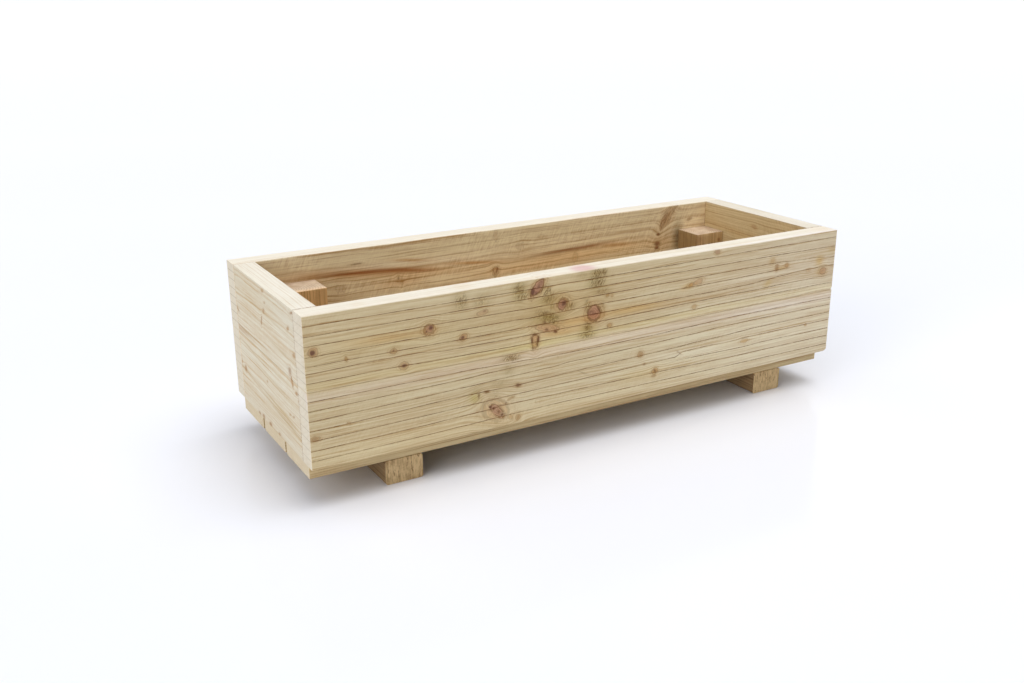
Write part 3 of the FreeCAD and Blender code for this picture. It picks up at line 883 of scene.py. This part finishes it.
def round_edges(w, t, width, thickness, radius):
    """Moves places near a timber's long edges onto its rounded outline."""
    core_w = np.clip(w, radius, width - radius)
    core_t = np.clip(t, radius, thickness - radius)
    out_w, out_t = w - core_w, t - core_t
    reach = np.hypot(out_w, out_t)
    square = np.maximum(np.abs(out_w), np.abs(out_t))
    scale = np.where(reach > 1e-9, square / np.maximum(reach, 1e-9), 1)
    return core_w + out_w * scale, core_t + out_t * scale


def bevelled(values, at_end, low, high):
    return np.where(at_end, np.clip(values, low + BEVEL, high - BEVEL), values)


def sink_seats(place, on_face, axis, sign, heads):
    """Sinks a cone for each screw head into a face. axis is 1 across the width, or 2 inward."""
    along, other = place[0], place[3 - axis]
    for head in heads:
        away = np.stack([along - head[0], other - head[3 - axis]])
        reach = np.hypot(*away)
        snap = on_face & (np.abs(reach - SEAT_RADIUS) < SEAT_SNAP)
        for values, part in zip((along, other), away):
            values[snap] += part[snap] / reach[snap] * (SEAT_RADIUS - reach[snap])
        reach = np.where(snap, SEAT_RADIUS, reach)
        depth = np.clip((SEAT_RADIUS - reach) * SEAT_SLOPE, 0, SEAT_DEPTH)
        place[axis][on_face] += sign * depth[on_face]


# Woods

front_wood = softwood("grooved_pine", linear(221, 204, 164), linear(180, 144, 92), contrast=0.35)
# The inner sides of the long walls: a paler copy of the pine with its own grain, the paleness
# painted light
inner_wood_painted_light = softwood("inner_pine_painted_light", linear(249, 231, 191), linear(190, 151, 100), contrast=0.62,
                      ring_width=7.5, streak=0.8, ripple=0.95, spot=linear(128, 76, 42))
front_end = end_grain("grooved_pine_end", linear(222, 213, 194), linear(192, 172, 138),
                      ring_width=9, contrast=0.1)
end_wood = softwood("end_pine", linear(217, 210, 190), linear(190, 156, 104), ring_width=7.0,
                    streak=0.5, ripple=0.35, lines=0.3, spot=linear(132, 88, 44))
# The inner sides of the end boards: a darker copy of the pine, painted shade
end_inner_wood_painted_shade = softwood("end_inner_pine_painted_shade", linear(208, 186, 142), linear(168, 138, 92),
                          contrast=0.55, ripple=0.8)
end_board_end = end_grain("end_pine_end", linear(232, 222, 198), linear(196, 176, 140))
post_wood = softwood("post_pine", linear(206, 176, 130), linear(150, 114, 74), contrast=0.3,
                     ring_width=4.5, streak=0.7, ripple=0.35, lines=0.25)
post_top = end_grain("post_top", linear(214, 192, 164), linear(162, 127, 98), contrast=0.34,
                     mottle=1.4)
floor_wood = softwood("floor_pine", linear(214, 193, 148), linear(168, 132, 86), contrast=0.5,
                      band=0.8)
floor_end = end_grain("floor_pine_end", linear(222, 208, 180), linear(188, 166, 130))
# The bearers: the pine darkened as painted shade
bearer_wood_painted_shade = softwood("bearer_pine_painted_shade", linear(150, 123, 88), linear(106, 80, 52), contrast=0.5)
bearer_end = end_grain("bearer_pine_end", linear(220, 191, 142), linear(138, 99, 57),
                       contrast=0.08, saw=(30, 300, 60), scratch=1.9, mottle=1.2, cracks=0.75)
steel = zinc("zinc_steel")


# Boards of the long walls

def groove_rows(lines, edges, places):
    """Heights and cuts of a grooved side at each place, from its top down.

    edges are the lines of its top and bottom. Heights are measured down from the rim.
    """
    above, bottom = (smooth_path(edge, places)[0] for edge in edges)
    grooves = [smooth_path(line, places) for line in lines]
    grooves = [(centre + GROOVE_DROP - GROOVE_MOUTH / 2, share) for centre, share in grooves]
    heights, cuts = [], []
    for start, share in [*grooves, (bottom, None)]:
        for step in range(1, RIDGE_ROWS):
            heights.append(above + (start - above) * step / RIDGE_ROWS)
            cuts.append(np.zeros_like(places))
        if share is not None:
            for part, depth in GROOVE_ROWS:
                heights.append(start + part * GROOVE_MOUTH)
                cuts.append(depth * share * GROOVE_DEPTH)
            above = start + GROOVE_MOUTH
    return np.array(heights).T, np.array(cuts).T


def straight(height):
    return [(0, height), (LONG_LENGTH, height)]


def even_grooves(top, bottom, count, seed):
    """Grooves of a wall that the photograph doesn't show: evenly spaced, a little wavy."""
    random = np.random.default_rng(seed)
    places = np.linspace(0, LONG_LENGTH, 4)
    heights = np.linspace(top, bottom, count + 2)[1:-1]
    return [list(zip(places, height + random.uniform(-0.8, 0.8, 4))) for height in heights]


def long_board(wall, board, lines, outer, inner, seed):
    """A grooved board of a long wall. Its outer side is the grid's front side."""
    random = np.random.default_rng(seed)
    is_front, is_upper = wall == "front", board == "upper"
    joint = JOINT_LINE if is_front else straight(JOINT_DEPTH)
    edges = (straight(0), joint) if is_upper else (joint, straight(RIM_HEIGHT))
    low_v, high_v = MARK_SPANS[board]
    near = [m for m in outer["knots"] + outer["torn"] + inner["knots"] if low_v <= m[1] <= high_v]
    places = ends_added(close_to(near, LONG_LENGTH, *WALL_GRIDS[wall]))

    # Rows from the top edge down, with rounded edges added, and then turned to run upward
    heights, cuts = groove_rows(lines, edges, places)
    cuts *= np.clip(0.86 + wave(random, places, 40, 0.3), 0.4, 1.1)[:, None]
    low, inset = (EDGE * (1 - curve(EDGE_TURNS)) for curve in (np.cos, np.sin))
    top, bottom = (smooth_path(edge, places)[0][:, None] for edge in edges)
    insets = np.concatenate([inset, np.zeros(heights.shape[1]), inset[::-1]])[::-1]
    heights = np.concatenate([top + low, heights, bottom - low[::-1]], 1)[:, ::-1]
    cuts = np.pad(cuts, ((0, 0), (len(low), len(low))))[:, ::-1]
    up = RIM_HEIGHT - heights

    timber = Timber(*up.shape, WALL_COLUMNS)
    i, j, k = timber.i, timber.j, timber.k
    cut = cuts[i, j]
    a, w = places[i], up[i, j]
    front, back = insets[j] + cut, WALL_THICKNESS - insets[j]
    t = front + (back - front) * k / (WALL_COLUMNS - 1)
    w = bevelled(w, timber.at_end, up[i, 0], up[i, -1])
    t = bevelled(t, timber.at_end, 0, WALL_THICKNESS)
    v = RIM_HEIGHT - w
    face = k == 0
    relief = wave(random, v, 23, 0.12) + wave(random, a, 160, 0.1) + WALL_RELIEF
    t = np.where(face, t + relief, t)
    scored = timber.at_end & (cut > DEEP_CUT)
    a = np.where(scored, a + np.where(i == 0, SCORE, -SCORE), a)

    fields = blank_fields(len(a))
    u = a if is_front else LONG_LENGTH - a
    marked_fields(fields, u, v, t, **outer)
    marked_fields(fields, u, v, WALL_THICKNESS - t, **inner)
    pith = (random.uniform(-60, -30) + (0 if is_upper else LOWER_PITH_DROP),
            60 + random.uniform(0, 30))
    grain_field(fields, u + LOG_LENGTH * random.uniform(0, 1), v, t if is_front else -t, pith)
    # Dirt and painted shade in the grooves, at the ends of the board too
    dirt_and_shade = np.clip(cut / GROOVE_DEPTH, 0, 1)
    fields["patch"][:, 1] = dirt_and_shade * np.where(timber.at_end, 0.8, face)
    rim = np.clip(1 - v / WALL_RIM_WEAR, 0, 1) * is_upper
    fields["patch"][:, 2] = rim
    if is_front:
        for mark in RIM_STAINS:
            stain(fields, mark, rim * np.exp(-mark_distance(u, t, mark) ** 4))
        from_v, to_v, lost = BROKEN_CORNERS[board]
        share = np.clip((v - from_v) / (to_v - from_v), 0, 1) ** 2
        a = a - np.clip(a - (LONG_LENGTH - CORNER_REACH), 0, CORNER_REACH) * share * lost

    start_x, start_y, sign = (LEFT, FRONT, 1) if is_front else (RIGHT, BACK, -1)
    points = np.stack([start_x + sign * MM * a, start_y + sign * MM * t, FLOOR_TOP + MM * w], 1)
    timber_piece(f"{wall}_{board}_plank", timber, points, fields,
                 (front_wood, front_end, inner_wood_painted_light), f"{wall}_board_{board}")


for board, lines, seed in (("upper", UPPER_GROOVES, 11), ("lower", LOWER_GROOVES, 12)):
    inner = random_marks(seed + 50, LONG_LENGTH, *SPANS[board])
    long_board("front", board, lines, FRONT_MARKS, inner, seed)

for board, seed in (("upper", 21), ("lower", 22)):
    outer = random_marks(seed + 50, LONG_LENGTH, *SPANS[board], knots=14, stains=8, torn=4)
    inner = random_marks(seed + 60, LONG_LENGTH, *SPANS[board])
    if board == "upper":
        inner = INNER_BACK_MARKS
    long_board("back", board, even_grooves(*SPANS[board], 7, seed), outer, inner, seed)


# Plain timbers

class Side:
    """The directions of a timber: along its grain, up its front side and inward from it."""

    def __init__(self, node, along, up, inward):
        self.node = node
        self.axes = np.array([along, up, inward], float)
        low, high = (np.array(corner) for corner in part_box(node))
        self.origin = np.where(self.axes.sum(0) > 0, low, high)
        self.size = self.length, self.width, self.thickness = np.abs(self.axes @ (high - low)) / MM

    def local(self, point):
        return self.axes @ (np.array(point) - self.origin) / MM

    def world(self, a, w, t):
        return self.origin + MM * np.stack([a, w, t], 1) @ self.axes


def plain_timber(name, side, slot, materials, seed, grid, radius=EDGE, offset=(0, 0), outer=NONE,
                 inner=NONE, pith=None, rim=False, seams=False, screws=(), tint=WHITE,
                 high_side_painted_shade=WHITE):
    """A straight timber with rounded edges, worn a little, in place of its CAD node.

    offset turns the place along it and down from its top edge into the marks' own lengths.
    screws are the points of screw heads on its faces.
    """
    base, fine, rows, columns = grid
    random = np.random.default_rng(seed)
    heads = [side.local(point) for point in screws]
    near = [(m[0] - offset[0], *m[1:]) for m in outer["knots"] + inner["knots"]]
    places = close_to(near, side.length, base, fine)
    for head in heads:
        around = np.linspace(head[0] - SEAT_REACH, head[0] + SEAT_REACH, SEAT_PLACES)
        places = places[np.abs(places - head[0]) > SEAT_REACH]
        places = np.sort(np.append(places, around))
    margin = 1.5 * SEAM_WIDTH if seams else 2 * BEVEL
    places = places[(places > margin) & (places < side.length - margin)]
    ends = [0, SEAM_WIDTH] if seams else [0]
    places = np.concatenate([ends, places, side.length - np.array(ends[::-1])])
    places = ends_added(places)

    def heads_across(axis, other):
        """Where the heads on the two faces across an axis lie along the other one."""
        found = [h for h in heads if min(h[axis], side.size[axis] - h[axis]) < ON_FACE]
        return sorted({round(head[other], 2) for head in found})

    across = spread(side.width, rows, radius, heads_across(2, 1))
    deep = spread(side.thickness, columns, radius, heads_across(1, 2))
    timber = Timber(len(places), len(across), len(deep))
    i, j, k = timber.i, timber.j, timber.k
    w, t = round_edges(across[j], deep[k], side.width, side.thickness, radius)
    place = [places[i], w, t]
    faces = ((k == 0, 2, 1), (k == len(deep) - 1, 2, -1), (j == 0, 1, 1),
             (j == len(across) - 1, 1, -1))
    for on_face, axis, sign in faces:
        if axis == 2:
            relief = 0.55 + 0.3 * wave(random, w, 21, 1) + 0.3 * wave(random, place[0], 90, 1)
        else:
            relief = 0.5 + 0.5 * wave(random, place[0], 60, 1)
        worn = on_face & ~timber.at_end
        place[axis][worn] += sign * WEAR * np.clip(relief, 0, None)[worn]
    for on_face, axis, sign in faces:
        level = 0 if sign > 0 else side.size[axis]
        sunk = [head for head in heads if abs(head[axis] - level) < ON_FACE]
        sink_seats(place, on_face, axis, sign, sunk)
    a, w, t = place
    w = bevelled(w, timber.at_end, 0, side.width)
    t = bevelled(t, timber.at_end, 0, side.thickness)

    fields = blank_fields(len(a))
    down = side.width - w
    # The tint: stains, and painted shade on the side at the high end of the width
    on_high = np.clip(1 - down / (2 * radius), 0, 1)[:, None]
    fields["tint"] *= np.array(tint) * (1 + (np.array(high_side_painted_shade) - 1) * on_high)
    u, v = a + offset[0], down + offset[1]
    marked_fields(fields, u, v, t, **outer)
    marked_fields(fields, u, v, side.thickness - t, **inner)
    pith = pith or (random.uniform(-50, -25), 60 + random.uniform(0, 40))
    grain_field(fields, a + LOG_LENGTH * random.uniform(0, 1), down, t, pith)
    # Dirt and painted shade along the seams at the ends
    if seams:
        near_end = np.minimum(a, side.length - a)
        fields["patch"][:, 1] = np.clip(1 - near_end / SEAM_WIDTH, 0, 1)
    if rim:
        fields["patch"][:, 2] = np.clip(1 - down / END_RIM_WEAR, 0, 1)
    timber_piece(name, timber, side.world(a, w, t), fields, materials, side.node)


# Screws

def screw_points():
    """For each group, the middle of each head and the direction that it is driven in."""
    groups = {name: [] for name in SCREW_LENGTHS}
    walls = [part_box(f"front_board_{board}") for board in ("lower", "upper")]
    for wall, wall_sign in (("front", -1), ("back", 1)):
        for end, end_sign in (("left", -1), ("right", 1)):
            low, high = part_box(f"corner_post_{wall}_{end}")
            middle = (low + high) / 2
            inner_x = high.x if end_sign < 0 else low.x
            inner_y = high.y if wall_sign < 0 else low.y
            for board_low, board_high in walls:
                for share in POST_SCREW_SHARES:
                    level = board_low.z + share * (min(board_high.z, high.z) - board_low.z)
                    groups[f"{wall}_wall_screws"].append(
                        ((middle.x, inner_y, level), (0, wall_sign, 0)))
                    groups[f"{end}_end_screws"].append(
                        ((inner_x, middle.y, level - CROSSING_DROP), (end_sign, 0, 0)))
    boards = [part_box(f"floor_board_{name}") for name in ("front", "middle", "back")]
    rows = [low.y + share * (high.y - low.y) for low, high in boards
            for share in FLOOR_SCREW_SHARES]
    corner = boards[0][0]
    end_x = (corner.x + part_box("left_end_board_lower")[1].x) / 2
    side_y = (corner.y + WALL_HIGH.y) / 2
    for sign in (1, -1):
        groups["floor_end_screws"] += [((sign * end_x, y, corner.z), UP) for y in rows]
        groups["floor_side_screws"] += [
            ((LEFT + share * (RIGHT - LEFT), sign * side_y, corner.z), UP)
            for share in SIDE_SCREW_SHARES]
    for end in ("left", "right"):
        low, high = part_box(f"bearer_{end}")
        groups["bearer_screws"] += [(((low.x + high.x) / 2, y, low.z), UP) for y in rows]
    return groups


SCREWS = screw_points()


def heads_on(node, *groups):
    """Points of the screw heads that lie on the faces of a node."""
    low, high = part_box(node)
    return [
        point for group in groups for point, _ in SCREWS[group]
        if all(low[axis] - 1e-5 <= point[axis] <= high[axis] + 1e-5 for axis in range(3))
    ]


def screw_shape(length):
    """Points and faces of a countersunk screw with a cross recess and a threaded shank."""
    turn = np.arange(AROUND) / AROUND * 2 * math.pi
    shank = [HEAD_RIM, (SHANK_RADIUS, HEAD_HEIGHT)]
    level = max(HEAD_HEIGHT + 2, length * THREAD_START)
    while level < length - POINT_LENGTH:
        shank += [(radius, level + share * PITCH) for radius, share in THREAD_ROWS]
        level += PITCH
    shank += [(CORE_RADIUS, length - POINT_LENGTH), (POINT_RADIUS, length)]
    rings = [(radius, np.full(AROUND, height)) for radius, height in reversed(shank)]
    nearest_arm = np.maximum(np.abs(np.cos(turn)), np.abs(np.sin(turn)))
    for radius in HEAD_RINGS:
        off_arm = radius * np.sqrt(np.maximum(1 - nearest_arm ** 2, 0))
        inside = (off_arm < RECESS_HALF_WIDTH) & (radius < RECESS_REACH)
        depth = RECESS_DEPTH * (1 - radius / HEAD_RADIUS)
        rings.append((radius, np.where(inside, HEAD_SUNK + depth, HEAD_SUNK)))
    points = [np.stack([radius * np.cos(turn), radius * np.sin(turn), heights], 1)
              for radius, heights in rings]
    points = np.concatenate([*points, [(0, 0, length), (0, 0, HEAD_SUNK + RECESS_DEPTH)]])
    pairs = [(n, (n + 1) % AROUND) for n in range(AROUND)]
    last = (len(rings) - 1) * AROUND
    faces = [(s + n, s + m, s + AROUND + m, s + AROUND + n)
             for s in range(0, last, AROUND) for n, m in pairs]
    faces += [(m, n, last + AROUND) for n, m in pairs]
    faces += [(last + n, last + m, last + AROUND + 1) for n, m in pairs]
    return points, faces


def screw_piece(group):
    """One group of screws in place of its CAD node."""
    points, faces = screw_shape(SCREW_LENGTHS[group])
    random = np.random.default_rng(len(SCREWS[group]))
    placed, all_faces = [], []
    for number, (point, drive) in enumerate(SCREWS[group]):
        driven = Vector(drive).to_track_quat("Z", "Y").to_matrix()
        spin = Matrix.Rotation(random.uniform(0, math.pi), 3, "Z")
        placed.append(MM * points @ np.array(driven @ spin).T + np.array(point))
        all_faces += [tuple(v + number * len(points) for v in face) for face in faces]
    name = group.replace("screws", "fixings")
    mesh = bpy.data.meshes.new(name)
    mesh.from_pydata(np.concatenate(placed).tolist(), [], all_faces)
    add_piece(name, mesh, SCREW_CREASE, (steel,), group)


# End boards, posts, floor boards, bearers and screws

for end, along, inward in (("left", (0, -1, 0), (1, 0, 0)), ("right", (0, 1, 0), (-1, 0, 0))):
    for board, seed in (("upper", 31), ("lower", 32)):
        side = Side(f"{end}_end_board_{board}", along, UP, inward)
        down = SPANS[board][0]
        look = {"outer": LEFT_MARKS}
        if end == "right":
            look = {
                "outer": random_marks(seed + 200, side.length, down, down + side.width, knots=6),
                "inner": RIGHT_INNER_MARKS if board == "upper" else NONE,
                # The right end boards get painted shade
                "tint": RIGHT_END_PAINTED_SHADE,
            }
        plain_timber(f"{end}_{board}_plank", side, "end_timber",
                     (end_wood, end_board_end, end_inner_wood_painted_shade), seed + 10 * (end == "right"),
                     END_GRID, END_EDGE, offset=(WALL_THICKNESS, down), rim=board == "upper",
                     seams=True, **look)

for wall, inward, up in (("front", (0, -1, 0), (1, 0, 0)), ("back", (0, 1, 0), (-1, 0, 0))):
    for end in ("left", "right"):
        side = Side(f"corner_post_{wall}_{end}", UP, up, inward)
        outer = random_marks(71 + (end == "right"), side.length, 0, side.width, knots=2,
                             stains=3, torn=1)
        if (wall, end) == ("back", "left"):
            # The back left post gets painted light
            outer = POST_KNOTS_AND_PAINTED_LIGHT
        plain_timber(f"{wall}_{end}_post", side, "post_timber", (post_wood, post_top),
                     61 + 2 * (wall == "back") + (end == "right"), POST_GRID, outer=outer,
                     pith=(side.width * PITH_SHARE, POST_PITH_DEPTH),
                     # The back right post's left side gets painted shade
                     high_side_painted_shade=SHADED_SIDE if (wall, end) == ("back", "right") else WHITE,
                     screws=heads_on(side.node, f"{wall}_wall_screws", f"{end}_end_screws"))

for number, name in enumerate(("front", "middle", "back")):
    side = Side(f"floor_board_{name}", (1, 0, 0), (0, -1, 0), UP)
    plain_timber(f"{name}_slat", side, "floor_timber", (floor_wood, floor_end), 81 + number,
                 FLOOR_GRID,
                 outer=random_marks(91 + number, side.length, 0, side.width, knots=8),
                 screws=heads_on(side.node, "floor_end_screws", "floor_side_screws"))

for number, end in enumerate(("left", "right")):
    side = Side(f"bearer_{end}", (0, -1, 0), (-1, 0, 0), UP)
    # The bearers carry painted shade
    plain_timber(f"{end}_bearer_bar", side, "bearer_timber", (bearer_wood_painted_shade, bearer_end),
                 101 + number, BEARER_GRID, BEARER_EDGE,
                 pith=(side.width * PITH_SHARE, BEARER_PITH_DEPTH),
                 outer=random_marks(111 + number, side.length, 0, side.width, knots=4),
                 screws=heads_on(side.node, "bearer_screws"))

for group in SCREWS:
    screw_piece(group)


# Camera, from the corners of the planter in the photograph

FOCAL_PIXELS = 1059.35
IMAGE_WIDTH = 1024
SENSOR_WIDTH = 36
CAMERA_REACH = 400
TILT, TURN, ROLL = (math.radians(x) for x in (18.98221, 29.99878, 0.29241))
CAMERA_PLACE = Vector((-1.119674, -1.793977, 0.867212))


def add_camera():
    ahead = Vector((math.sin(TURN) * math.cos(TILT), math.cos(TURN) * math.cos(TILT),
                    -math.sin(TILT)))
    level = Vector((math.cos(TURN), -math.sin(TURN), 0))
    down = ahead.cross(level)
    right = math.cos(ROLL) * level + math.sin(ROLL) * down
    below = -math.sin(ROLL) * level + math.cos(ROLL) * down
    data = bpy.data.cameras.new("camera")
    data.sensor_width = SENSOR_WIDTH
    data.sensor_fit = "HORIZONTAL"
    data.lens = FOCAL_PIXELS / IMAGE_WIDTH * SENSOR_WIDTH
    data.clip_end = CAMERA_REACH
    camera = add_object("camera", data)
    turned = Matrix((right, -below, -ahead)).transposed().to_4x4()
    camera.matrix_world = Matrix.Translation(CAMERA_PLACE) @ turned
    bpy.context.scene.camera = camera


# Soft lamps: where each one lies, its level and its width in degrees
LAMPS = (
    ("overhead", (0, 0, 1), 0.3, 50),
    ("high_front", (0.3, -0.17, 0.9), 0.42, 45),
    ("back_left", (-0.57, 0.57, 0.6), 0.15, 45),
    ("back_right", (0.7, 0.28, 0.6), 0.09, 50),
    ("front_left", (-0.7, -0.28, 0.6), 0.12, 50),
    ("low_left", (-0.87, -0.36, 0.2), 0.44, 50),
)


def add_sun(name, toward, level, width):
    """A soft light from one direction. level is how bright a white surface gets that faces it."""
    data = bpy.data.lights.new(name, "SUN")
    data.energy = level * math.pi
    data.angle = math.radians(width)
    lamp = add_object(name, data)
    lamp.rotation_mode = "QUATERNION"
    lamp.rotation_quaternion = Vector(toward).to_track_quat("Z", "Y")


# Light of the studio, whose walls are white where they are seen or mirrored
WORLD_LIGHT = (0.79, 0.98, 1.35)
WORLD_LEVEL = 0.115


def add_world():
    world = bpy.data.worlds.new("studio")
    g = Graph(world)
    ray = g.node("ShaderNodeLightPath", {}).outputs
    seen = g.math("MAXIMUM", ray["Is Camera Ray"], ray["Is Glossy Ray"])
    seen = g.math("MAXIMUM", seen, ray["Is Transmission Ray"])
    light = g.node("ShaderNodeBackground", {
        "Color": g.mix(seen, WORLD_LIGHT, WHITE),
        "Strength": g.span(seen, 0, 1, WORLD_LEVEL, 1, "LINEAR"),
    })
    g.node("ShaderNodeOutputWorld", {"Surface": light.outputs[0]})
    bpy.context.scene.world = world


FLOOR_REACH = 200
FLOOR_LOOK = {"Base Color": (0.88, 0.885, 0.925, 1), "Roughness": 0.12, "IOR": 1.2}


def add_floor():
    mesh = bpy.data.meshes.new("studio_floor")
    mesh.from_pydata([(x * FLOOR_REACH, y * FLOOR_REACH, 0)
                      for x, y in ((-1, -1), (1, -1), (1, 1), (-1, 1))], [], [(0, 1, 2, 3)])
    mesh.materials.append(Graph(bpy.data.materials.new("studio_floor")).surface(FLOOR_LOOK))
    add_object("studio_floor", mesh)


add_camera()
for lamp in LAMPS:
    add_sun(*lamp)
add_world()
add_floor()
bpy.context.scene.view_settings.view_transform = "Standard"
